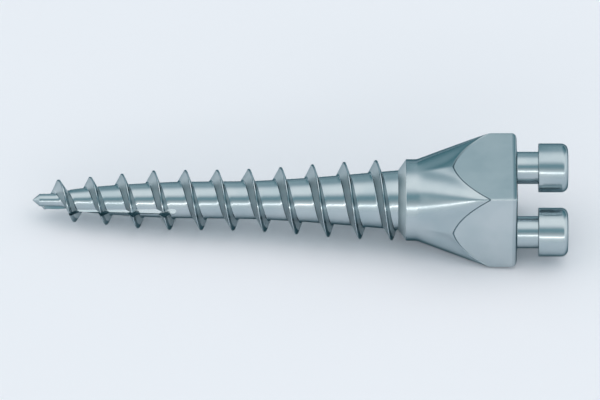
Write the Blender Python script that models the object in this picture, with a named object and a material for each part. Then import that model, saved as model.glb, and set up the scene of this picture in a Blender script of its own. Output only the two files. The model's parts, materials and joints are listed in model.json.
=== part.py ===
"""A one-piece dental mini implant: a self-tapping titanium screw under a square driving head.

The implant is drawn in millimetres along its own axis, from the point at x = 0 towards the head
at +x. The corners of the square head lie on the Y and Z directions, and its two button posts lie
on Z. At the end the solid is brought to metres and laid down as it comes to rest on a table: on
one flat of the square and on the crest of the thread.
"""

import math

import bmesh
import bpy
import numpy as np
from mathutils import Matrix

MM = 0.001

# Point and core of the screw. Stations are distances from the point along the axis.
POINT_LENGTH = 0.160
CORE_STATIONS = (0.160, 0.620, 0.860, 2.330, 3.290, 4.730, 5.740, 8.150)
CORE_RADII = (0.136, 0.148, 0.232, 0.363, 0.405, 0.421, 0.468, 0.662)

# Thread: single start, right-handed. The crest climbs out of the core right behind the point.
# The first teeth slope gently at the back, and the later ones at the front.
PITCH = 0.707
THREAD_START = 0.208
THREAD_END = 8.650
CREST_STATIONS = (0.208, 0.280, 0.580, 1.287, 1.994, 2.700, 4.450, 5.530, 6.630, 8.150, 8.650)
CREST_RADII = (0.137, 0.236, 0.455, 0.517, 0.588, 0.660, 0.682, 0.735, 0.829, 0.903, 0.870)
TOP_CREST = 0.580
FULL_DEPTH = 0.270
FLANK_STATIONS = (0.208, 2.700)
FRONT_FLANK = (0.105, 0.150)
BACK_FLANK = (0.160, 0.090)
CREST_LAND = 0.020
LEAST_TOOTH_WIDTH = 0.300
SEGMENTS_PER_TURN = 48

# Cutting flute: a slot milled across the first teeth, its wall leaning from the Y direction.
FLUTE_LEAN = math.radians(15)
FLUTE_FRONT = 0.600
FLUTE_BACK = 3.140
FLUTE_WALL_FRONT = 0.185
FLUTE_WALL_BACK = 0.100
FLUTE_WIDTH_FRONT = 0.067
FLUTE_WIDTH_BACK = 0.138
FLUTE_FLOOR_FRONT = 0.060
FLUTE_FLOOR_BACK = 0.352
FLUTE_CUT_OUT_TO = 0.800
FLUTE_END_STEPS = 8

# Collar between the thread and the head.
COLLAR_RADIUS = 0.909
COLLAR_FOOT = 8.110
COLLAR_FOOT_RADIUS = 0.610
COLLAR_EDGE = 8.324
COLLAR_END = 8.547

# Square driving head. Each flat begins in a pointed arch, with its nose on the flat's middle.
HALF_FLATS = 1.062
CORNER_ROUND = 0.030
ARCH_NOSE = 9.366
ARCH_SLOPE = 0.227
ARCH_BEND = 0.520
FLARE_RISE_AT_FLAT = 1.90
FLARE_RISE_AT_CORNER = 0.97
FLARE_STEPS = 10
RIDGE_HEIGHT = 0.030
RIDGE_FALL = 3
HEAD_END = 10.788
HEAD_EDGE_ROUND = 0.105
HEAD_EDGE_STEPS = 4
HEAD_COLUMN_DEGREES = (0, 6, 12, 18, 24, 30, 37)

# Button posts on one diagonal of the head.
POST_OFFSET = 0.716
STEM_RADIUS = 0.359
STEM_FILLET = 0.030
BUTTON_RADIUS = 0.544
BUTTON_START = 11.272
BUTTON_EDGE_BREAK = 0.012
BUTTON_ROUND = 0.155
BUTTON_END = 11.933
POST_ROOT = 10.640
POST_SEGMENTS = 36
POST_ROUND_STEPS = 5

SMOOTH_ANGLE = math.radians(30)
LIE_ON_FLAT = math.radians(-45)


def clear_scene():
    for obj in list(bpy.data.objects):
        bpy.data.objects.remove(obj, do_unlink=True)


def titanium():
    """Turned titanium alloy: a blue-grey metal with a fine satin lustre."""
    material = bpy.data.materials.new("turned_titanium")
    material.use_nodes = True
    shader = material.node_tree.nodes["Principled BSDF"]
    shader.inputs["Base Color"].default_value = (0.46, 0.55, 0.58, 1.0)
    shader.inputs["Metallic"].default_value = 1.0
    shader.inputs["Roughness"].default_value = 0.28
    return material


def smooth_through(x, stations, values):
    """A curve through the stations that never overshoots them: cubic pieces between the stations,
    with each inner slope the harmonic mean of its two neighbours' slopes."""
    stations = np.asarray(stations, float)
    values = np.asarray(values, float)
    gaps = np.diff(stations)
    rises = np.diff(values) / gaps
    product = rises[:-1] * rises[1:]
    total = np.where(product > 0, rises[:-1] + rises[1:], 1)
    inner = np.where(product > 0, 2 * product / total, 0)
    slopes = np.concatenate([rises[:1], inner, rises[-1:]])
    piece = np.clip(np.searchsorted(stations, x) - 1, 0, len(gaps) - 1)
    t = np.clip((x - stations[piece]) / gaps[piece], 0, 1)
    start = (1 + 2 * t) * (1 - t) ** 2 * values[piece]
    end = t * t * (3 - 2 * t) * values[piece + 1]
    start_slope = t * (1 - t) ** 2 * gaps[piece] * slopes[piece]
    end_slope = t * t * (t - 1) * gaps[piece] * slopes[piece + 1]
    return start + end + start_slope + end_slope


def core_radius(x):
    return smooth_through(x, CORE_STATIONS, CORE_RADII)


def crest_radius(x):
    return smooth_through(x, CREST_STATIONS, CREST_RADII)


def around_axis(x, radius, angle):
    """Points at these stations, radii and angles. The angle turns from +Y towards +Z."""
    return np.stack([x, radius * np.cos(angle), radius * np.sin(angle)], axis=-1)


def solid(name, points, faces):
    """A closed mesh object with every face turned outwards."""
    mesh = bpy.data.meshes.new(name)
    mesh.from_pydata(np.asarray(points).tolist(), [], faces)
    shape = bmesh.new()
    shape.from_mesh(mesh)
    bmesh.ops.recalc_face_normals(shape, faces=shape.faces)
    shape.to_mesh(mesh)
    shape.free()
    obj = bpy.data.objects.new(name, mesh)
    bpy.context.scene.collection.objects.link(obj)
    return obj


def loft(name, rings):
    """A skin over rings of equally many points, closed by a flat cap at each end."""
    count, around = rings.shape[:2]
    faces = [list(range(around)), list(range((count - 1) * around, count * around))]
    for ring in range(count - 1):
        for column in range(around):
            a = ring * around + column
            b = ring * around + (column + 1) % around
            faces.append([a, b, b + around, a + around])
    return solid(name, rings.reshape(-1, 3), faces)


def thread_lines():
    """Station, radius and angle of the five lines that run along the thread: the tooth's front
    foot, the front and back edges of its crest, its back foot, and the middle of the bare core
    behind it. A shallow tooth is also a narrow one."""
    count = round((THREAD_END - THREAD_START) / PITCH * SEGMENTS_PER_TURN)
    crest = THREAD_START + np.arange(count + 1) * PITCH / SEGMENTS_PER_TURN
    angle = math.pi / 2 + 2 * math.pi * (crest - TOP_CREST) / PITCH
    depth = crest_radius(crest) - core_radius(crest)
    width = LEAST_TOOTH_WIDTH + (1 - LEAST_TOOTH_WIDTH) * np.clip(depth / FULL_DEPTH, 0, 1)
    land = width * CREST_LAND / 2
    front = crest - land - width * np.interp(crest, FLANK_STATIONS, FRONT_FLANK)
    back = crest + land + width * np.interp(crest, FLANK_STATIONS, BACK_FLANK)
    middle = (back + front + PITCH) / 2
    front[0] = POINT_LENGTH
    stations = np.stack([front, crest - land, crest + land, back, middle], axis=1)
    radii = core_radius(stations)
    radii[:, 1:3] = crest_radius(crest)[:, None]
    return stations, radii, np.repeat(angle[:, None], stations.shape[1], axis=1)


def threaded_shaft():
    """The screw from its point to inside the head, as one strip wound round the axis.

    The strip is as wide as the pitch. Its last line, on the bare core, meets the first line of
    the next turn, so the winding closes on itself with no seam. A ring behind the point and a
    centre inside the head close the two ends.
    """
    stations, radii, angles = thread_lines()
    count, lines = len(stations) - 1, stations.shape[1]
    turn = SEGMENTS_PER_TURN
    points = around_axis(stations, radii, angles).reshape(-1, 3)
    ring_angles = angles[1:turn, 0]
    ring = around_axis(
        np.full(turn - 1, POINT_LENGTH),
        np.full(turn - 1, CORE_RADII[0]),
        ring_angles,
    )
    tip = len(points) + len(ring)
    centre = tip + 1
    ends = [[0, 0, 0], [(stations[count, 0] + stations[count, 4]) / 2, 0, 0]]
    points = np.concatenate([points, ring, ends])

    def at(step, line):
        return step * lines + line

    def on_ring(step):
        return at(0, 0) if step % turn == 0 else (count + 1) * lines + step - 1

    last = lines - 1
    faces = []
    for step in range(count):
        for line in range(last):
            a, b = at(step, line), at(step + 1, line)
            faces += [[a, b, b + 1], [a, b + 1, a + 1]]
        if step + 1 + turn <= count:
            a, b = at(step, last), at(step + 1, last)
            c, d = at(step + 1 + turn, 0), at(step + turn, 0)
            faces += [[a, b, c], [a, c, d]]
    for step in range(turn):
        faces.append([on_ring(step + 1), on_ring(step), tip])
        if step < turn - 1:
            faces.append([on_ring(step), on_ring(step + 1), at(step + 1, 0)])
        if 0 < step < turn - 1:
            faces.append([on_ring(step), at(step + 1, 0), at(step, 0)])
    start_edge = [at(0, line) for line in range(lines)] + [at(turn, 0)]
    corner = at(turn - 1, 0)
    faces.append([corner, on_ring(turn - 1), start_edge[0]])
    faces += [[corner, a, b] for a, b in zip(start_edge, start_edge[1:])]
    for step in range(count - turn, count):
        faces.append([at(step, last), at(step + 1, last), centre])
    end_edge = [at(count, line) for line in range(last, -1, -1)] + [at(count - turn, last)]
    faces += [[a, b, centre] for a, b in zip(end_edge, end_edge[1:])]
    return solid("mini_implant", points, faces)


def square_radius(angle, half_flats):
    """Distance from the axis to a square with slightly rounded corners, at this angle from the
    middle of a flat: the flat itself, or the corner's arc beyond the flat's end."""
    to_arc = half_flats - CORNER_ROUND
    off_corner = np.abs(math.pi / 4 - np.abs(angle))
    arc_centre = math.sqrt(2) * to_arc
    under_root = CORNER_ROUND**2 - (arc_centre * np.sin(off_corner)) ** 2
    arc = arc_centre * np.cos(off_corner) + np.sqrt(np.maximum(under_root, 0))
    flat_ends_at = math.atan2(to_arc, half_flats)
    return np.where(np.abs(angle) < flat_ends_at, half_flats / np.cos(angle), arc)


def head_columns():
    """Angles of the head's columns from the middle of their own flat, and round the axis."""
    flat_end = math.degrees(math.atan2(HALF_FLATS - CORNER_ROUND, HALF_FLATS))
    half = [*HEAD_COLUMN_DEGREES, flat_end, 45]
    quarter = np.radians([*(-angle for angle in half[:0:-1]), *half[:-1]])
    turned = [quarter + math.pi / 4 + side * math.pi / 2 for side in range(4)]
    return np.tile(quarter, 4), np.concatenate(turned)


def driving_head():
    """Collar, flare and square, lofted through rings of points.

    The flare carries the round collar out to the square along straight columns. It ends on the
    arches in which the flats begin. It rises late towards the middle of a flat and evenly at a
    corner. A low ridge stands on the middle line, from each arch's nose back to the collar.
    """
    off_flat, angle = head_columns()
    square = square_radius(off_flat, HALF_FLATS)
    across = np.abs(square * np.sin(off_flat))
    arch = ARCH_NOSE + ARCH_SLOPE * across + ARCH_BEND * across**2
    to_corner = np.abs(off_flat) / (math.pi / 4)
    rise = FLARE_RISE_AT_FLAT + (FLARE_RISE_AT_CORNER - FLARE_RISE_AT_FLAT) * to_corner**2
    ridge = RIDGE_HEIGHT * (1 - to_corner) ** RIDGE_FALL

    def ring(x, radius):
        return around_axis(np.broadcast_to(x, angle.shape), np.broadcast_to(radius, angle.shape), angle)

    rings = [ring(COLLAR_FOOT, COLLAR_FOOT_RADIUS), ring(COLLAR_EDGE, COLLAR_RADIUS)]
    for share in np.linspace(0, 1, FLARE_STEPS + 1):
        x = COLLAR_END + (arch - COLLAR_END) * share
        flare = COLLAR_RADIUS + (square - COLLAR_RADIUS) * share**rise
        rings.append(ring(x, flare + ridge * math.sin(math.pi * share)))
    for turn in np.linspace(0, math.pi / 2, HEAD_EDGE_STEPS + 1):
        x = HEAD_END - HEAD_EDGE_ROUND * (1 - math.sin(turn))
        inset = HEAD_EDGE_ROUND * (1 - math.cos(turn))
        rings.append(ring(x, square_radius(off_flat, HALF_FLATS - inset)))
    return loft("driving_head", np.array(rings))


def arc_points(centre_x, centre_r, radius, from_degrees, to_degrees):
    turn = np.radians(np.linspace(from_degrees, to_degrees, POST_ROUND_STEPS))
    return np.stack([centre_x + radius * np.cos(turn), centre_r + radius * np.sin(turn)], axis=1)


def button_post(name, offset):
    """A turned stem with a flat round button, rooted in the head's end face."""
    fillet_r = STEM_RADIUS + STEM_FILLET
    profile = np.concatenate(
        [
            [[POST_ROOT, fillet_r]],
            arc_points(HEAD_END + STEM_FILLET, fillet_r, STEM_FILLET, 180, 270),
            [
                [BUTTON_START, STEM_RADIUS],
                [BUTTON_START, BUTTON_RADIUS - BUTTON_EDGE_BREAK],
                [BUTTON_START + BUTTON_EDGE_BREAK, BUTTON_RADIUS],
            ],
            arc_points(BUTTON_END - BUTTON_ROUND, BUTTON_RADIUS - BUTTON_ROUND, BUTTON_ROUND, 90, 0),
        ]
    )
    angle = np.arange(POST_SEGMENTS) * 2 * math.pi / POST_SEGMENTS
    rings = around_axis(profile[:, :1] + 0 * angle, profile[:, 1:] + 0 * angle, angle)
    rings[..., 2] += offset
    return loft(name, rings)


def cutting_flute():
    """The milling cut across the first teeth: a tapered slot outline with a half-round back end,
    carried from the sloping floor of the flute out past the thread's crest."""
    end_radius = FLUTE_WIDTH_BACK / 2
    turn = np.linspace(-math.pi / 2, math.pi / 2, FLUTE_END_STEPS + 1)
    back_x = FLUTE_BACK + end_radius * np.cos(turn)
    back_q = FLUTE_WALL_BACK + end_radius * (1 + np.sin(turn))
    front_q = (FLUTE_WALL_FRONT + FLUTE_WIDTH_FRONT, FLUTE_WALL_FRONT)
    x = np.concatenate([back_x, [FLUTE_FRONT, FLUTE_FRONT]])
    q = np.concatenate([back_q, front_q])
    along = (x - FLUTE_FRONT) / (FLUTE_BACK + end_radius - FLUTE_FRONT)
    floor = FLUTE_FLOOR_FRONT + (FLUTE_FLOOR_BACK - FLUTE_FLOOR_FRONT) * along
    outwards = np.array([0, -math.cos(FLUTE_LEAN), -math.sin(FLUTE_LEAN)])
    across = np.array([0, math.sin(FLUTE_LEAN), -math.cos(FLUTE_LEAN)])
    wall = x[:, None] * np.array([1, 0, 0]) + q[:, None] * across
    rings = np.stack([wall + floor[:, None] * outwards, wall + FLUTE_CUT_OUT_TO * outwards])
    return loft("cutting_flute", rings)


def combined(body, joined, cut):
    """The body with these solids united with it and these cut from it, as a new mesh."""
    for operation, tools in (("UNION", joined), ("DIFFERENCE", cut)):
        for tool in tools:
            boolean = body.modifiers.new(tool.name, "BOOLEAN")
            boolean.operation = operation
            boolean.object = tool
    evaluated = body.evaluated_get(bpy.context.evaluated_depsgraph_get())
    mesh = bpy.data.meshes.new_from_object(evaluated)
    body.modifiers.clear()
    for tool in (*joined, *cut):
        bpy.data.objects.remove(tool, do_unlink=True)
    return mesh


def lying_pose(points):
    """The turn and place that lay the implant down, in its own units.

    It is rolled onto a flat of the square, and its point sinks until the thread touches the
    level that the nose of that flat rests on. Its box is then centred over the origin.
    """
    roll = Matrix.Rotation(LIE_ON_FLAT, 3, "X")
    rolled = points @ np.array(roll).T
    screw = rolled[rolled[:, 0] < COLLAR_FOOT]
    slopes = (screw[:, 2] + HALF_FLATS) / (ARCH_NOSE - screw[:, 0])
    turn = Matrix.Rotation(-math.atan(slopes.min()), 3, "Y") @ roll
    laid = points @ np.array(turn).T
    low, high = laid.min(axis=0), laid.max(axis=0)
    return turn, (-(low[0] + high[0]) / 2, -(low[1] + high[1]) / 2, -low[2])


def mini_implant():
    body = threaded_shaft()
    posts = [button_post("post_a", POST_OFFSET), button_post("post_b", -POST_OFFSET)]
    mesh = combined(body, [driving_head(), *posts], [cutting_flute()])
    mesh.name = body.name
    points = np.empty(len(mesh.vertices) * 3)
    mesh.vertices.foreach_get("co", points)
    turn, place = lying_pose(points.reshape(-1, 3))
    mesh.transform(Matrix.Scale(MM, 4))
    mesh.materials.clear()
    mesh.materials.append(titanium())
    mesh.shade_smooth()
    mesh.set_sharp_from_angle(angle=SMOOTH_ANGLE)
    body.data = mesh
    body.rotation_euler = turn.to_euler()
    body.location = [distance * MM for distance in place]
    return body


clear_scene()
mini_implant()
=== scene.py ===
"""Looks of a dental mini implant: one piece of turned, milled and blasted titanium alloy.

The implant is worked out in millimetres along its own axis, from the point at x = 0 towards the
head at +x. The corners of its square head lie on the Y and Z directions and its two button posts
on Z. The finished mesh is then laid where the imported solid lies, with its point dipping.
"""
import json
import math

import bmesh
import bpy
import numpy as np
from mathutils import Matrix, Vector


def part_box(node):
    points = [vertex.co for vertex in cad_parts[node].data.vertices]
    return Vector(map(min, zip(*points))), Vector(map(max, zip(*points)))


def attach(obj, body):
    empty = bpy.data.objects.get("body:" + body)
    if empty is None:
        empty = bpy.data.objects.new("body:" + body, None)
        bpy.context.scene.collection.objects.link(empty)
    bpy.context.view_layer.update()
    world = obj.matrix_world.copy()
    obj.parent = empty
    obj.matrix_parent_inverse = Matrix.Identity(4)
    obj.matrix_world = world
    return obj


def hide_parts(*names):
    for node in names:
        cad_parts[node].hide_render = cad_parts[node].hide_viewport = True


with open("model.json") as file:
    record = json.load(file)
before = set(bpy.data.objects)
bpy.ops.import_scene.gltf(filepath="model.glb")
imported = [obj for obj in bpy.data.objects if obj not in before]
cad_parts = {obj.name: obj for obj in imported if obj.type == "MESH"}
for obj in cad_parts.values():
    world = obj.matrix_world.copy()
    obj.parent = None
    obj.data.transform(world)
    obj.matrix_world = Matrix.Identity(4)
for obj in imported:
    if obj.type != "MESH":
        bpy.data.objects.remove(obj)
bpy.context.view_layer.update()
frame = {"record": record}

MM = 0.001

# Sizes are in millimetres, and stations are distances from the point along the axis.
# Point and core
POINT_LENGTH = 0.160
POINT_BLUNTNESS = 0.06
POINT_ROWS = 10
CORE_STATIONS = (0.160, 0.620, 0.860, 2.330, 3.290, 4.730, 5.740, 8.150)
CORE_RADII = (0.136, 0.148, 0.232, 0.363, 0.405, 0.421, 0.468, 0.662)

# Thread. One crest stands right on top of the core at TOP_CREST, and the others follow from it.
PITCH = 0.707
THREAD_START = 0.208
THREAD_END = 8.650
CREST_STATIONS = (0.208, 0.280, 0.580, 1.287, 1.994, 2.700, 4.450, 5.530, 6.630, 8.150, 8.650)
CREST_RADII = (0.137, 0.236, 0.455, 0.517, 0.588, 0.660, 0.682, 0.735, 0.829, 0.903, 0.870)
TOP_CREST = 0.580
# Length along the axis of the two flanks of a whole tooth, at the flank stations
FLANK_STATIONS = (0.208, 2.700)
FRONT_FLANK = (0.105, 0.150)
BACK_FLANK = (0.160, 0.090)
CREST_LAND = 0.020
CREST_ROUNDING = 0.006
FOOT_FILLET = 0.020
# A tooth is whole from this depth on. A shallower one keeps these shares of width and fillet.
FULL_DEPTH = 0.270
LEAST_WIDTH = 0.300
LEAST_FILLET = 0.050
SEGMENTS_PER_TURN = 144
# Where the lines along the thread lie: across each flank from its foot, the land and the bare core
FLANK_SHARES = (0, 0.05, 0.12, 0.3, 0.65, 0.9)
LAND_SHARES = (0, 0.5)
BARE_SHARES = (0, 0.06, 0.14, 0.3, 0.5, 0.7, 0.86, 0.94)
# The gaps between those lines that are blasted: both flanks, short of their foot and crest
BLASTED_GAPS = (2, 3, 4, 10, 11)

# Cutting flute, a slot that faces the front and leans towards the floor. Its upper wall lies this
# far below the axis and its floor this far in front of it, at the flute's two ends.
FLUTE_LEAN = math.radians(15)
FLUTE_FRONT = 0.600
FLUTE_BACK = 3.140
FLUTE_WALL_FRONT = 0.185
FLUTE_WALL_BACK = 0.100
FLUTE_WIDTH_FRONT = 0.067
FLUTE_WIDTH_BACK = 0.138
FLUTE_FLOOR_FRONT = 0.050
FLUTE_FLOOR_BACK = 0.318
FLUTE_CUT_OUT_TO = 0.800
FLUTE_END_STEPS = 20

# Collar
COLLAR_RADIUS = 0.909
COLLAR_FOOT = 8.110
COLLAR_FOOT_RADIUS = 0.610
COLLAR_EDGE = 8.324
COLLAR_END = 8.547

# Flare, which ends in an arch on each flat, with a fine groove along the arch
ARCH_NOSE = 9.366
ARCH_SLOPE = 0.227
ARCH_BEND = 0.520
GROOVE_HALF_WIDTH = 0.020
GROOVE_DEPTH = 0.030
# Powers of the way along the flare: how late it rises in the middle of a flat and at a corner,
# how its swell gets narrower, and how late it bends onto the square
FLARE_RISE_AT_FLAT = 1.90
FLARE_RISE_AT_CORNER = 0.97
SWELL_POWER = 2.5
SQUARE_POWER = 8
# Share of the way that the soft start takes, and the small turn that a corner's slope is taken over
FLARE_SOFT_START = 0.02
SLOPE_STEP = math.radians(0.1)
# Ridge on the flare, with powers for how it falls away to its sides and how late its top comes
RIDGE_HEIGHT = 0.030
RIDGE_FALL = 3
RIDGE_LATENESS = 1.5
FLARE_STEPS = 28
GROOVE_STEPS = 8

# Square head
HALF_FLATS = 1.062
CORNER_ROUND = 0.030
HEAD_END = 10.788
HEAD_EDGE_ROUND = 0.105
HEAD_FLAT_COLUMNS = 18
HEAD_CORNER_COLUMNS = 4
HEAD_EDGE_STEPS = 12
EDGE_BREAK = 0.008
CORNER = math.pi / 4

# Button posts
POST_OFFSET = 0.716
POST_ROOT = 10.640
STEM_RADIUS = 0.359
STEM_FILLET = 0.030
BUTTON_RADIUS = 0.544
BUTTON_START = 11.272
BUTTON_END = 11.933
BUTTON_EDGE_BREAK = 0.012
BUTTON_ROUND = 0.155
POST_SEGMENTS = 120
POST_ROUND_STEPS = 12
BREAK_STEPS = 3

# How it lies, and the angle between faces from which an edge shows as sharp
LIE_ON_FLAT = math.radians(-45)
SMOOTH_ANGLE = math.radians(38)

# Finishes, by their place in the mesh's list of materials
TURNED, MILLED, BLASTED = 0, 1, 2
# Tool marks are noise of this roughness. Oxide lies in patches of this size, between these two
# values of a noise of this detail, and changes the roughness of the metal by this much.
MARKS_ROUGHNESS = 0.6
PATCH_SIZE = 0.8
PATCH_DETAIL = 3.0
PATCH_EDGES = (0.35, 0.65)
PATCH_DULLNESS = 0.02

# Studio: light by the angle of its direction, in degrees from the front up over the top to the
# back, as linear red, green and blue, where 1 shows a colour about as it is written
STUDIO_BANDS = (
    (0, (0.72, 0.76, 0.78)),
    (11, (0.88, 0.90, 0.91)),
    (29, (0.80, 0.82, 0.83)),
    (37, (0.44, 0.50, 0.52)),
    (45, (0.30, 0.42, 0.46)),
    (54, (0.20, 0.36, 0.41)),
    (61, (0.34, 0.46, 0.50)),
    (70, (0.80, 0.84, 0.86)),
    (80, (1.10, 1.10, 1.10)),
    (107, (1.10, 1.10, 1.10)),
    (120, (0.88, 0.91, 0.93)),
    (130, (0.53, 0.62, 0.66)),
    (142, (0.41, 0.52, 0.56)),
    (154, (0.46, 0.58, 0.62)),
    (170, (0.42, 0.55, 0.59)),
    (180, (0.38, 0.52, 0.56)),
)
# The light of the back wall's corners and of the end walls, and where it fades in: by the same
# angle, and by how far sideways a direction goes, from 0, square to the implant, to 1, along it
BACK_CORNER = (0.10, 0.25, 0.29)
BACK_FADE = (math.radians(118), math.radians(168))
CORNER_FADE = (0.06, 0.26)
END_WALL = (1.00, 1.02, 1.03)
END_FADE = (0.64, 0.80)
STUDIO_LEVEL = 1.15

# Table, which reaches this far to each side, in metres
TABLE_COLOUR = "#f3f3f8"
TABLE_ROUGHNESS = 0.7
TABLE_REACH = 0.6

# Strip light, with its height as an angle, its sizes in metres and its brightness in the same
# measure as the studio's
STRIP_HEIGHT = math.radians(20)
STRIP_DISTANCE = 0.5
STRIP_LENGTH = 1.2
STRIP_WIDTH = 0.03
STRIP_LIGHT = 4.0
STRIP_COLOUR = (1.0, 0.93, 0.90)

# Picture, in pixels, and the camera, in millimetres
PICTURE_WIDTH = 600
POINT_IN_PICTURE = 32.4
MM_PER_PIXEL = 0.02228
LENS = 600
SENSOR_WIDTH = 36
CLIP_RATIO = 100

# Sockets of a Mix node for colours, which share their names with others
MIX_SHARE, MIX_FIRST, MIX_SECOND, MIXED = 0, 6, 7, 2


def smooth_through(x, stations, values):
    """A curve through the stations that never overshoots them: cubic pieces between the stations,
    with each inner slope the harmonic mean of its two neighbours' slopes."""
    stations = np.asarray(stations, float)
    values = np.asarray(values, float)
    gaps = np.diff(stations)
    rises = np.diff(values) / gaps
    product = rises[:-1] * rises[1:]
    total = np.where(product > 0, rises[:-1] + rises[1:], 1)
    inner = np.where(product > 0, 2 * product / total, 0)
    slopes = np.concatenate([rises[:1], inner, rises[-1:]])
    piece = np.clip(np.searchsorted(stations, x) - 1, 0, len(gaps) - 1)
    t = np.clip((x - stations[piece]) / gaps[piece], 0, 1)
    start = (1 + 2 * t) * (1 - t) ** 2 * values[piece]
    end = t * t * (3 - 2 * t) * values[piece + 1]
    start_slope = t * (1 - t) ** 2 * gaps[piece] * slopes[piece]
    end_slope = t * t * (t - 1) * gaps[piece] * slopes[piece + 1]
    return start + end + start_slope + end_slope


def core_radius(x):
    """Radius of the core between the teeth: the smooth curve through its stations."""
    return smooth_through(x, CORE_STATIONS, CORE_RADII)


def crest_radius(x):
    """Radius of the thread's crest: the smooth curve through its stations."""
    return smooth_through(x, CREST_STATIONS, CREST_RADII)


def around_axis(x, radius, angle):
    """Points at these stations, radii and angles. The angle turns from +Y towards +Z."""
    x, radius, angle = np.broadcast_arrays(x, radius, angle)
    return np.stack([x, radius * np.cos(angle), radius * np.sin(angle)], axis=-1)


def lower_of(a, b, blend):
    """The lower of two heights, with the corner between them rounded over the blend's width."""
    return np.minimum(a, b) - np.maximum(blend - np.abs(a - b), 0) ** 2 / (4 * blend)


def higher_of(a, b, blend):
    """The higher of two heights, with the corner between them filled over the blend's width."""
    return -lower_of(-a, -b, blend)


def numbered(points, start):
    """The numbers of these points in their mesh, where the first one has the number start."""
    return start + np.arange(points[..., 0].size).reshape(points.shape[:-1])


def closed(numbers):
    """The same point numbers with the first one again at the end."""
    return np.concatenate([numbers, numbers[..., :1]], axis=-1)


def quads_between(first, second):
    """Faces between two rows of as many point numbers each."""
    return np.stack([first[..., :-1], second[..., :-1], second[..., 1:], first[..., 1:]], axis=-1)


def fan(edge, centre):
    """Triangles from each step of an edge to one centre, all as point numbers."""
    return np.stack([edge[:-1], edge[1:], np.full(len(edge) - 1, centre)], axis=-1)


def solid(name, points, quads, triangles, finishes):
    """A closed mesh object in millimetres, every face pointing outwards, from arrays of points,
    quads and triangles, and the finish of each quad. The triangles are turned. The quads of the
    thread are not flat, so they are split, and then a cut across them closes exactly."""
    faces = [*quads.reshape(-1, 4).tolist(), *triangles.reshape(-1, 3).tolist()]
    mesh = bpy.data.meshes.new(name)
    mesh.from_pydata(points.reshape(-1, 3).tolist(), [], faces)
    finish = np.full(len(faces), TURNED, dtype=np.int32)
    finish[: finishes.size] = finishes.ravel()
    mesh.polygons.foreach_set("material_index", finish)
    shape = bmesh.new()
    shape.from_mesh(mesh)
    bmesh.ops.recalc_face_normals(shape, faces=shape.faces)
    bmesh.ops.triangulate(shape, faces=shape.faces)
    shape.to_mesh(mesh)
    shape.free()
    for material in FINISHES:
        mesh.materials.append(material)
    obj = bpy.data.objects.new(name, mesh)
    bpy.context.scene.collection.objects.link(obj)
    return obj


def loft(name, rings, rows_finished, centres):
    """A skin over rings of equally many points, closed by a fan from a centre at each end. It is
    turned, apart from the rows of faces that rows_finished gives another finish."""
    number = closed(numbered(rings, 0))
    first_centre, last_centre = numbered(centres, rings[..., 0].size)
    quads = quads_between(number[:-1], number[1:])
    finishes = np.full(quads.shape[:2], TURNED)
    for rows, finish in rows_finished:
        finishes[rows] = finish
    ends = np.concatenate([fan(number[0], first_centre), fan(number[-1], last_centre)])
    points = np.concatenate([rings.reshape(-1, 3), centres])
    return solid(name, points, quads, ends, finishes)


def thread_rows():
    """Stations and radii of the lines that run along the thread, one row for each step of the
    winding. Across a row, the tooth is the lower of its two flanks and its land, the core is
    filled up to it with a small fillet, and a shallow tooth is also a narrow one."""
    turn = SEGMENTS_PER_TURN
    count = round((THREAD_END - THREAD_START) / PITCH * turn)
    crest = THREAD_START + np.arange(count + 1) * PITCH / turn
    depth = crest_radius(crest) - core_radius(crest)
    wholeness = np.clip(depth / FULL_DEPTH, 0, 1)
    width = LEAST_WIDTH + (1 - LEAST_WIDTH) * wholeness
    land = width * CREST_LAND / 2
    front = crest - land - width * np.interp(crest, FLANK_STATIONS, FRONT_FLANK)
    back = crest + land + width * np.interp(crest, FLANK_STATIONS, BACK_FLANK)
    front[0] = POINT_LENGTH
    next_front = np.concatenate([front[turn:], front[-turn:] + PITCH])

    anchors = (front, crest - land, crest + land, back, next_front)
    back_shares = (0, *(1 - share for share in reversed(FLANK_SHARES[1:])))
    shares = (FLANK_SHARES, LAND_SHARES, back_shares, BARE_SHARES)
    stations = np.stack(
        [
            start + (end - start) * share
            for start, end, part in zip(anchors, anchors[1:], shares)
            for share in part
        ],
        axis=1,
    )

    top = crest_radius(crest)[:, None]
    rise_front = (top - core_radius(front)[:, None]) / (crest - land - front)[:, None]
    rise_back = (top - core_radius(back)[:, None]) / (back - crest - land)[:, None]
    flank_front = core_radius(front)[:, None] + rise_front * (stations - front[:, None])
    flank_back = core_radius(back)[:, None] + rise_back * (back[:, None] - stations)
    next_flank = core_radius(next_front)[:, None] + rise_front * (stations - next_front[:, None])
    tooth = lower_of(lower_of(flank_front, flank_back, CREST_ROUNDING), top, CREST_ROUNDING)
    tooth = np.maximum(tooth, np.where(stations > back[:, None], next_flank, 0))
    fillet = FOOT_FILLET * np.maximum(wholeness, LEAST_FILLET)[:, None]
    return stations, higher_of(core_radius(stations), tooth, fillet)


def run_in_columns(first_turn, angles, rows):
    """Columns of evenly spaced points on the core, one to each angle, from the ring behind the
    point to the stations of the first turn of the thread, without the points on that turn."""
    shares = np.arange(rows) / rows
    x = POINT_LENGTH + (first_turn[:, None] - POINT_LENGTH) * shares
    return around_axis(x, core_radius(x), angles[:, None])


def point_rings(angles):
    """Rings of points on the blunt cone, from the ring behind it forwards. The square of the
    radius grows with the distance from the tip and its square: round at the tip, then straight."""
    along = np.linspace(1, 0, POINT_ROWS + 1)[1:-1, None]
    blunt = np.sqrt((along**2 + POINT_BLUNTNESS * along) / (1 + POINT_BLUNTNESS))
    return around_axis(POINT_LENGTH * along, CORE_RADII[0] * blunt, angles)


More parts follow.
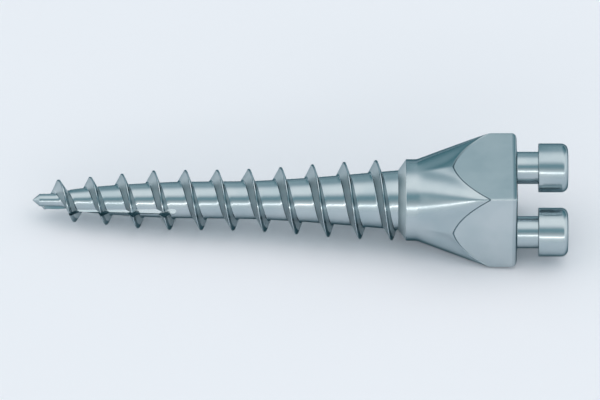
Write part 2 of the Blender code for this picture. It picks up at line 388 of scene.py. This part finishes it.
def threaded_shaft():
    """The screw from its point to inside the head, as one strip wound round the axis.

    The strip is as wide as the pitch: station along the axis and angle both grow in step along
    it, and the radius is the tooth's profile across it. Its last line meets the first line of
    the next turn. In front of the first turn stand the run-in columns and the point. A centre
    inside the head closes the other end.
    """
    stations, radii = thread_rows()
    count, lines = len(stations) - 1, stations.shape[1]
    turn = SEGMENTS_PER_TURN
    first_angle = math.pi / 2 + 2 * math.pi * (THREAD_START - TOP_CREST) / PITCH
    angles = first_angle + 2 * math.pi * np.arange(count + 1) / turn

    winding = around_axis(stations, radii, angles[:, None])
    columns = run_in_columns(stations[1:turn, 0], angles[1:turn], lines)
    rings = point_rings(angles[:turn])
    ends = np.array([[0, 0, 0], [stations[-1, 0], 0, 0]])
    strip = numbered(winding, 0)
    column = numbered(columns, strip.size)
    ring = numbered(rings, strip.size + column.size)
    tip, centre = numbered(ends, strip.size + column.size + ring.size)

    # The columns end on the first turn, and the strip's start is the last column.
    column = np.concatenate([column, strip[1:turn, :1]], axis=1)
    column = np.concatenate([column, [[*strip[0], strip[turn, 0]]]])
    behind_point = np.concatenate([strip[:1, 0], column[:-1, 0]])
    ring = closed(np.concatenate([[behind_point], ring]))
    end_edge = np.concatenate([strip[count - turn :, -1], strip[count, -2::-1]])
    parts = (
        quads_between(strip[:-1], strip[1:]),
        quads_between(strip[turn:, 0], strip[: count - turn + 1, -1]),
        quads_between(column[:-1], column[1:]),
        quads_between(ring[:-1], ring[1:]),
    )
    quads = np.concatenate([part.reshape(-1, 4) for part in parts])
    fans = (fan(column[0], strip[0, 0]), fan(ring[-1], tip), fan(closed(end_edge), centre))

    across = np.full(lines - 1, TURNED)
    across[list(BLASTED_GAPS)] = BLASTED
    finishes = np.full(len(quads), TURNED)
    finishes[: count * (lines - 1)] = np.tile(across, count)
    points = np.concatenate([part.reshape(-1, 3) for part in (winding, columns, rings, ends)])
    return solid("titanium_implant", points, quads, np.concatenate(fans), finishes)


def square_radius(angle, half_flats):
    """Distance from the axis to a square with slightly rounded corners, at this angle from the
    middle of a flat: the flat itself, or the corner's arc beyond the flat's end."""
    to_arc = half_flats - CORNER_ROUND
    off_corner = np.abs(CORNER - np.abs(angle))
    arc_centre = math.sqrt(2) * to_arc
    under_root = CORNER_ROUND**2 - (arc_centre * np.sin(off_corner)) ** 2
    arc = arc_centre * np.cos(off_corner) + np.sqrt(np.maximum(under_root, 0))
    flat_ends_at = np.arctan2(to_arc, half_flats)
    return np.where(np.abs(angle) < flat_ends_at, half_flats / np.cos(angle), arc)


def head_columns():
    """Angles of the head's columns from the middle of their own flat, and round the axis. The
    corner's arc has columns of its own."""
    flat_end = math.atan2(HALF_FLATS - CORNER_ROUND, HALF_FLATS)
    flat = np.linspace(0, flat_end, HEAD_FLAT_COLUMNS + 1)
    corner = np.linspace(flat_end, CORNER, HEAD_CORNER_COLUMNS + 1)[1:]
    half = np.concatenate([flat, corner])
    quarter = np.concatenate([-half[:0:-1], half[:-1]])
    sides = CORNER + np.arange(4) * math.pi / 2
    return np.tile(quarter, 4), (sides[:, None] + quarter).ravel()


def arch_station(across):
    """Station of the arch that ends the flare, at this distance from the middle of its flat: a
    pointed nose, with two sides that bend as a parabola does."""
    return ARCH_NOSE + ARCH_SLOPE * across + ARCH_BEND * across**2


def sharp_flare(off_flat, x):
    """Radius of the flare before its corners are rounded. At each angle it goes from the collar's
    radius to the flat's as a power of the way to the arch: late in the middle, evenly at a
    corner. Close to the collar the way itself starts as a square, so the flare leaves it softly."""
    flat = HALF_FLATS / np.cos(off_flat)
    way = (x - COLLAR_END) / (arch_station(HALF_FLATS * np.tan(off_flat)) - COLLAR_END)
    way = (1 + FLARE_SOFT_START) * way**2 / (np.abs(way) + FLARE_SOFT_START)
    to_corner = off_flat / CORNER
    rise = FLARE_RISE_AT_FLAT + (FLARE_RISE_AT_CORNER - FLARE_RISE_AT_FLAT) * to_corner**2
    return COLLAR_RADIUS + (flat - COLLAR_RADIUS) * way**rise


def flare_radius(off_flat, x):
    """Radius of the flare. The sharp flare falls away from a corner with a certain slope; a swell
    with the opposite slope makes the corner round. The swell is a cubic that reaches zero with no
    slope, close to the corner where the flare ends and far from it at the collar."""
    off_flat = np.abs(off_flat)
    slope = (sharp_flare(CORNER, x) - sharp_flare(CORNER - SLOPE_STEP, x)) / SLOPE_STEP
    way = np.clip((x - COLLAR_END) / (arch_station(HALF_FLATS) - COLLAR_END), 0, 1)
    reach = CORNER * (1 - way**SWELL_POWER) ** 2 + SLOPE_STEP
    left = np.clip(1 - (CORNER - off_flat) / reach, 0, 1)
    return sharp_flare(off_flat, x) + slope * reach * (1 - left) * left**2


def driving_head():
    """Collar, flare and square, lofted through rings of points.

    The collar's foot is a cone, and its edge is broken by a small arc of three points. The flare
    is bent onto the square along the last of its way. A low ridge stands on the middle line of
    each of its sides, half a sine wave along it with the top towards the arch. The cutter that
    made a flat left a fine groove at its arch, one cosine wave deep. The end of the head is
    rounded by a quarter circle.
    """
    off_flat, angle = head_columns()
    square = square_radius(off_flat, HALF_FLATS)
    arch = arch_station(np.abs(square * np.sin(off_flat)))

    slant = np.array([COLLAR_EDGE - COLLAR_FOOT, COLLAR_RADIUS - COLLAR_FOOT_RADIUS])
    slant = EDGE_BREAK * slant / np.linalg.norm(slant)
    collar = np.array(
        [
            [COLLAR_FOOT, COLLAR_FOOT_RADIUS],
            [COLLAR_EDGE - slant[0], COLLAR_RADIUS - slant[1]],
            [COLLAR_EDGE, COLLAR_RADIUS - EDGE_BREAK / 4],
            [COLLAR_EDGE + EDGE_BREAK, COLLAR_RADIUS],
        ]
    )

    steps = np.linspace(0, 1, FLARE_STEPS + 1)[:, None]
    flare_x = COLLAR_END + (arch - GROOVE_HALF_WIDTH - COLLAR_END) * steps
    way = (flare_x - COLLAR_END) / (arch - COLLAR_END)
    off_square = flare_radius(off_flat, arch) - square
    ridge = RIDGE_HEIGHT * (1 - np.abs(off_flat) / CORNER) ** RIDGE_FALL
    flare_r = flare_radius(off_flat, flare_x) - off_square * way**SQUARE_POWER
    flare_r = flare_r + ridge * np.sin(math.pi * way**RIDGE_LATENESS)

    past = np.linspace(-1, 1, GROOVE_STEPS + 1)[1:, None]
    groove_x = arch + GROOVE_HALF_WIDTH * past
    groove_r = square + (square - flare_r[-1]) * np.minimum(past, 0)
    groove_r = groove_r - GROOVE_DEPTH * (1 + np.cos(math.pi * past)) / 2

    turn = np.linspace(0, math.pi / 2, HEAD_EDGE_STEPS + 1)[:, None]
    edge_x = HEAD_END - HEAD_EDGE_ROUND * (1 - np.sin(turn))
    edge_r = square_radius(off_flat, HALF_FLATS - HEAD_EDGE_ROUND * (1 - np.cos(turn)))

    rings = np.concatenate(
        [
            around_axis(collar[:, :1], collar[:, 1:], angle),
            around_axis(flare_x, flare_r, angle),
            around_axis(groove_x, groove_r, angle),
            around_axis(edge_x, edge_r, angle),
        ]
    )
    flat_row = len(collar) + len(flare_x) + len(groove_x) - 1
    finished = ((0, BLASTED), (flat_row, MILLED))
    return loft("driving_head", rings, finished, np.array([[COLLAR_FOOT, 0, 0], [HEAD_END, 0, 0]]))


def arc(centre_x, centre_r, radius, from_degrees, to_degrees, steps):
    """Station and radius of points on a circle's arc."""
    turn = np.radians(np.linspace(from_degrees, to_degrees, steps + 1))
    return np.stack([centre_x + radius * np.cos(turn), centre_r + radius * np.sin(turn)], axis=1)


def button_post(name, offset):
    """A turned stem with a flat round button: one profile turned about the post's own axis."""
    fillet_r = STEM_RADIUS + STEM_FILLET
    break_x = BUTTON_START + BUTTON_EDGE_BREAK
    break_r = BUTTON_RADIUS - BUTTON_EDGE_BREAK
    round_x = BUTTON_END - BUTTON_ROUND
    round_r = BUTTON_RADIUS - BUTTON_ROUND
    profile = np.concatenate(
        [
            [[POST_ROOT, fillet_r]],
            arc(HEAD_END + STEM_FILLET, fillet_r, STEM_FILLET, 180, 270, POST_ROUND_STEPS),
            [[BUTTON_START - EDGE_BREAK, STEM_RADIUS]],
            [[BUTTON_START, STEM_RADIUS + EDGE_BREAK]],
            arc(break_x, break_r, BUTTON_EDGE_BREAK, 180, 90, BREAK_STEPS),
            arc(round_x, round_r, BUTTON_ROUND, 90, 0, POST_ROUND_STEPS),
        ]
    )
    angle = np.arange(POST_SEGMENTS) * 2 * math.pi / POST_SEGMENTS
    rings = around_axis(profile[:, :1], profile[:, 1:], angle) + [0, 0, offset]
    return loft(name, rings, (), np.array([[POST_ROOT, 0, offset], [BUTTON_END, 0, offset]]))


def cutting_flute():
    """The milling cut across the first teeth: a tapered slot outline with a half-round back end,
    carried from the sloping floor of the flute out past the thread's crest."""
    end_radius = FLUTE_WIDTH_BACK / 2
    turn = np.linspace(-math.pi / 2, math.pi / 2, FLUTE_END_STEPS + 1)
    x = np.concatenate([FLUTE_BACK + end_radius * np.cos(turn), [FLUTE_FRONT, FLUTE_FRONT]])
    below_axis = np.concatenate(
        [
            FLUTE_WALL_BACK + end_radius * (1 + np.sin(turn)),
            [FLUTE_WALL_FRONT + FLUTE_WIDTH_FRONT, FLUTE_WALL_FRONT],
        ]
    )
    along = (x - FLUTE_FRONT) / (FLUTE_BACK + end_radius - FLUTE_FRONT)
    floor = FLUTE_FLOOR_FRONT + (FLUTE_FLOOR_BACK - FLUTE_FLOOR_FRONT) * along
    outwards = np.array([0, -math.cos(FLUTE_LEAN), -math.sin(FLUTE_LEAN)])
    down = np.array([0, math.sin(FLUTE_LEAN), -math.cos(FLUTE_LEAN)])
    outline = x[:, None] * np.array([1, 0, 0]) + below_axis[:, None] * down
    rings = np.stack([outline + floor[:, None] * outwards, outline + FLUTE_CUT_OUT_TO * outwards])
    return loft("cutting_flute", rings, ((0, MILLED),), rings.mean(axis=1))


def laid_down():
    """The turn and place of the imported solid. It is rolled onto one flat. Its axis dips as the
    record's thread mount does, its point is at the low end of the CAD box, and the nose of the
    flat under it is on the floor."""
    mounts = {mount["name"]: mount for mount in frame["record"]["mounts"]}
    dip = math.asin(-mounts["bone_thread"]["axis"][2])
    turn = Matrix.Rotation(-dip, 3, "Y") @ Matrix.Rotation(LIE_ON_FLAT, 3, "X")
    low_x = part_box("mini_implant")[0][0]
    height = (HALF_FLATS * math.cos(dip) - ARCH_NOSE * math.sin(dip)) * MM
    return turn, Vector((low_x, 0, height))


def titanium_implant():
    """The shaft united with the head and the posts, and the flute cut from it."""
    body = threaded_shaft()
    steps = (
        ("UNION", driving_head()),
        ("UNION", button_post("post_a", POST_OFFSET)),
        ("UNION", button_post("post_b", -POST_OFFSET)),
        ("DIFFERENCE", cutting_flute()),
    )
    for operation, tool in steps:
        boolean = body.modifiers.new(tool.name, "BOOLEAN")
        boolean.operation = operation
        boolean.object = tool
    evaluated = body.evaluated_get(bpy.context.evaluated_depsgraph_get())
    mesh = bpy.data.meshes.new_from_object(evaluated)
    body.modifiers.clear()
    for _, tool in steps:
        bpy.data.objects.remove(tool, do_unlink=True)
    turn, place = laid_down()
    mesh.transform(Matrix.Translation(place) @ turn.to_4x4() @ Matrix.Scale(MM, 4))
    mesh.shade_smooth()
    mesh.set_sharp_from_angle(angle=SMOOTH_ANGLE)
    body.data = mesh
    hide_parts("mini_implant")
    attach(body, "root")


def linear(hex_colour):
    """An sRGB hex colour as linear red, green, blue and alpha."""
    parts = [int(hex_colour[i : i + 2], 16) / 255 for i in (1, 3, 5)]
    return (*(p / 12.92 if p <= 0.04045 else ((p + 0.055) / 1.055) ** 2.4 for p in parts), 1.0)


def add(tree, kind, settings=None, inputs=None):
    """A node of this kind, with its settings, and its inputs set or linked."""
    node = tree.nodes.new(kind)
    for name, value in (settings or {}).items():
        setattr(node, name, value)
    for name, value in (inputs or {}).items():
        if isinstance(value, bpy.types.NodeSocket):
            tree.links.new(value, node.inputs[name])
        else:
            node.inputs[name].default_value = value
    return node


def metal(name, bright, oxide, edge, roughness, marks_across, mark_size, mark_depth):
    """A bare metal with the marks of the tool that cut it: ridges of uneven height, from noise
    along one of the implant's own axes. Where its oxide is a little thicker, in soft patches, it
    is darker and bluer, and duller. The edge colour is what it has at a glancing view."""
    material = bpy.data.materials.new(name)
    material.use_nodes = True
    tree = material.node_tree
    shader = tree.nodes["Principled BSDF"]
    shader.inputs["Specular Tint"].default_value = linear(edge)
    shader.inputs["Metallic"].default_value = 1.0
    place = add(tree, "ShaderNodeTexCoord")
    own_axes = add(
        tree,
        "ShaderNodeMapping",
        None,
        {"Vector": place.outputs["Object"], "Rotation": laid_down()[0].inverted().to_euler()},
    )
    axes = add(tree, "ShaderNodeSeparateXYZ", None, {"Vector": own_axes.outputs["Vector"]})
    marks = add(
        tree,
        "ShaderNodeTexNoise",
        {"noise_dimensions": "1D"},
        {
            "W": axes.outputs[marks_across],
            "Scale": 1 / (mark_size * MM),
            "Roughness": MARKS_ROUGHNESS,
        },
    )
    relief = add(
        tree,
        "ShaderNodeBump",
        None,
        {"Height": marks.outputs["Fac"], "Distance": mark_depth * MM, "Strength": 1.0},
    )
    patches = add(
        tree,
        "ShaderNodeTexNoise",
        None,
        {
            "Vector": place.outputs["Object"],
            "Scale": 1 / (PATCH_SIZE * MM),
            "Detail": PATCH_DETAIL,
        },
    )
    thickness = add(
        tree,
        "ShaderNodeMapRange",
        None,
        {
            "Value": patches.outputs["Fac"],
            "From Min": PATCH_EDGES[0],
            "From Max": PATCH_EDGES[1],
        },
    )
    tone = add(
        tree,
        "ShaderNodeMix",
        {"data_type": "RGBA"},
        {
            MIX_SHARE: thickness.outputs["Result"],
            MIX_FIRST: linear(bright),
            MIX_SECOND: linear(oxide),
        },
    )
    dullness = add(
        tree,
        "ShaderNodeMapRange",
        None,
        {
            "Value": thickness.outputs["Result"],
            "To Min": roughness - PATCH_DULLNESS,
            "To Max": roughness + PATCH_DULLNESS,
        },
    )
    tree.links.new(relief.outputs["Normal"], shader.inputs["Normal"])
    tree.links.new(tone.outputs[MIXED], shader.inputs["Base Color"])
    tree.links.new(dullness.outputs["Result"], shader.inputs["Roughness"])
    return material


def turned_titanium():
    """Titanium alloy as the lathe leaves it: blue-grey, darker at a glancing view, with rings
    round the axis. Real rings are 0.02 mm apart; these are coarser, to show in the picture."""
    return metal(
        "turned_titanium_alloy",
        bright="#b3bfc4",
        oxide="#a6b6bc",
        edge="#4e7279",
        roughness=0.20,
        marks_across="X",
        mark_size=0.050,
        mark_depth=0.0003,
    )


def milled_titanium():
    """Titanium alloy as the end mill leaves it on the flats and in the flute: a little paler and
    softer, with straight marks along the implant, coarser than the real ones, to show in the
    picture."""
    return metal(
        "milled_titanium_alloy",
        bright="#bfcace",
        oxide="#b3c1c6",
        edge="#54777e",
        roughness=0.22,
        marks_across="Y",
        mark_size=0.080,
        mark_depth=0.0006,
    )


def blasted_titanium():
    """Titanium alloy blasted with fine grit where it meets bone and gum, on the thread's flanks
    and the collar's foot: paler and duller than the rest, and nearly as pale at a glancing view.
    The lathe's rings still show faintly through it, coarser than the real ones."""
    return metal(
        "blasted_titanium_alloy",
        bright="#c8d1d4",
        oxide="#bcc8cb",
        edge="#b0bfc4",
        roughness=0.40,
        marks_across="X",
        mark_size=0.040,
        mark_depth=0.0004,
    )


def studio_floor():
    """A plain pale table top under the implant, with a dull even paint."""
    mesh = bpy.data.meshes.new("studio_floor")
    reach = TABLE_REACH
    corners = [(-reach, -reach, 0), (reach, -reach, 0), (reach, reach, 0), (-reach, reach, 0)]
    mesh.from_pydata(corners, [], [(0, 1, 2, 3)])
    material = bpy.data.materials.new("pale_table")
    material.use_nodes = True
    shader = material.node_tree.nodes["Principled BSDF"]
    shader.inputs["Base Color"].default_value = linear(TABLE_COLOUR)
    shader.inputs["Roughness"].default_value = TABLE_ROUGHNESS
    mesh.materials.append(material)
    obj = bpy.data.objects.new("studio_floor", mesh)
    bpy.context.scene.collection.objects.link(obj)


def studio_world():
    """A plain studio round the implant. Its light depends on the height of a direction over the
    floor in front, up over the implant and down to the back wall: a soft box in front, a gap,
    a broad soft box overhead and a dimmer back wall. Towards its corners the back wall gets
    dimmer still, and the walls at the implant's two ends are evenly light."""
    world = bpy.data.worlds.new("studio_world")
    world.use_nodes = True
    tree = world.node_tree
    place = add(tree, "ShaderNodeTexCoord")
    axes = add(tree, "ShaderNodeSeparateXYZ", None, {"Vector": place.outputs["Generated"]})
    forwards = add(
        tree,
        "ShaderNodeMath",
        {"operation": "MULTIPLY"},
        {0: axes.outputs["Y"], 1: -1.0},
    )
    height = add(
        tree,
        "ShaderNodeMath",
        {"operation": "ARCTAN2"},
        {0: axes.outputs["Z"], 1: forwards.outputs[0]},
    )
    share = add(
        tree,
        "ShaderNodeMapRange",
        None,
        {"Value": height.outputs[0], "From Min": 0.0, "From Max": math.pi},
    )
    bands = add(
        tree,
        "ShaderNodeValToRGB",
        {"label": "soft boxes"},
        {"Fac": share.outputs["Result"]},
    )
    stops = bands.color_ramp.elements
    while len(stops) < len(STUDIO_BANDS):
        stops.new(1.0)
    for stop, (degrees, light) in zip(stops, STUDIO_BANDS):
        stop.position = degrees / 180
        stop.color = (*light, 1.0)
    sideways = add(
        tree,
        "ShaderNodeMath",
        {"operation": "ABSOLUTE"},
        {0: axes.outputs["X"]},
    )
    to_back, to_side, to_end = (
        add(
            tree,
            "ShaderNodeMapRange",
            {"interpolation_type": "SMOOTHSTEP"},
            {"Value": measure.outputs[0], "From Min": fade[0], "From Max": fade[1]},
        )
        for measure, fade in ((height, BACK_FADE), (sideways, CORNER_FADE), (sideways, END_FADE))
    )
    to_corner = add(
        tree,
        "ShaderNodeMath",
        {"operation": "MULTIPLY"},
        {0: to_back.outputs["Result"], 1: to_side.outputs["Result"]},
    )
    with_corners = add(
        tree,
        "ShaderNodeMix",
        {"data_type": "RGBA"},
        {
            MIX_SHARE: to_corner.outputs[0],
            MIX_FIRST: bands.outputs["Color"],
            MIX_SECOND: (*BACK_CORNER, 1.0),
        },
    )
    with_ends = add(
        tree,
        "ShaderNodeMix",
        {"data_type": "RGBA"},
        {
            MIX_SHARE: to_end.outputs["Result"],
            MIX_FIRST: with_corners.outputs[MIXED],
            MIX_SECOND: (*END_WALL, 1.0),
        },
    )
    background = tree.nodes["Background"]
    tree.links.new(with_ends.outputs[MIXED], background.inputs["Color"])
    background.inputs["Strength"].default_value = STUDIO_LEVEL
    bpy.context.scene.world = world


def strip_light():
    """A long narrow soft light low in front, which draws the bright line along the turned parts."""
    data = bpy.data.lights.new("strip_light", "AREA")
    data.shape = "RECTANGLE"
    data.size = STRIP_LENGTH
    data.size_y = STRIP_WIDTH
    data.energy = STRIP_LIGHT * math.pi * STRIP_LENGTH * STRIP_WIDTH
    data.color = STRIP_COLOUR
    obj = bpy.data.objects.new("strip_light", data)
    towards = Vector((0, -math.cos(STRIP_HEIGHT), math.sin(STRIP_HEIGHT)))
    obj.location = towards * STRIP_DISTANCE
    obj.rotation_euler = towards.to_track_quat("Z", "Y").to_euler()
    bpy.context.scene.collection.objects.link(obj)


def camera():
    """Square to the implant's side, level with the corner between two flats, as drawn. It stands
    as far away as its lens needs for the picture's width."""
    turn, place = laid_down()
    along, towards, up = (turn @ Vector(side) for side in ((1, 0, 0), (0, -1, 0), (0, 0, 1)))
    data = bpy.data.cameras.new("camera")
    data.lens = LENS
    data.sensor_width = SENSOR_WIDTH
    distance = PICTURE_WIDTH * MM_PER_PIXEL * MM * LENS / SENSOR_WIDTH
    data.clip_start = distance / CLIP_RATIO
    data.clip_end = distance * CLIP_RATIO
    obj = bpy.data.objects.new("camera", data)
    from_point = (PICTURE_WIDTH / 2 - POINT_IN_PICTURE) * MM_PER_PIXEL * MM
    obj.location = place + along * from_point + towards * distance
    obj.rotation_euler = Matrix((along, up, towards)).transposed().to_euler()
    bpy.context.scene.collection.objects.link(obj)
    bpy.context.scene.camera = obj


FINISHES = (turned_titanium(), milled_titanium(), blasted_titanium())
titanium_implant()
studio_floor()
studio_world()
strip_light()
camera()
bpy.context.scene.view_settings.view_transform = "Standard"
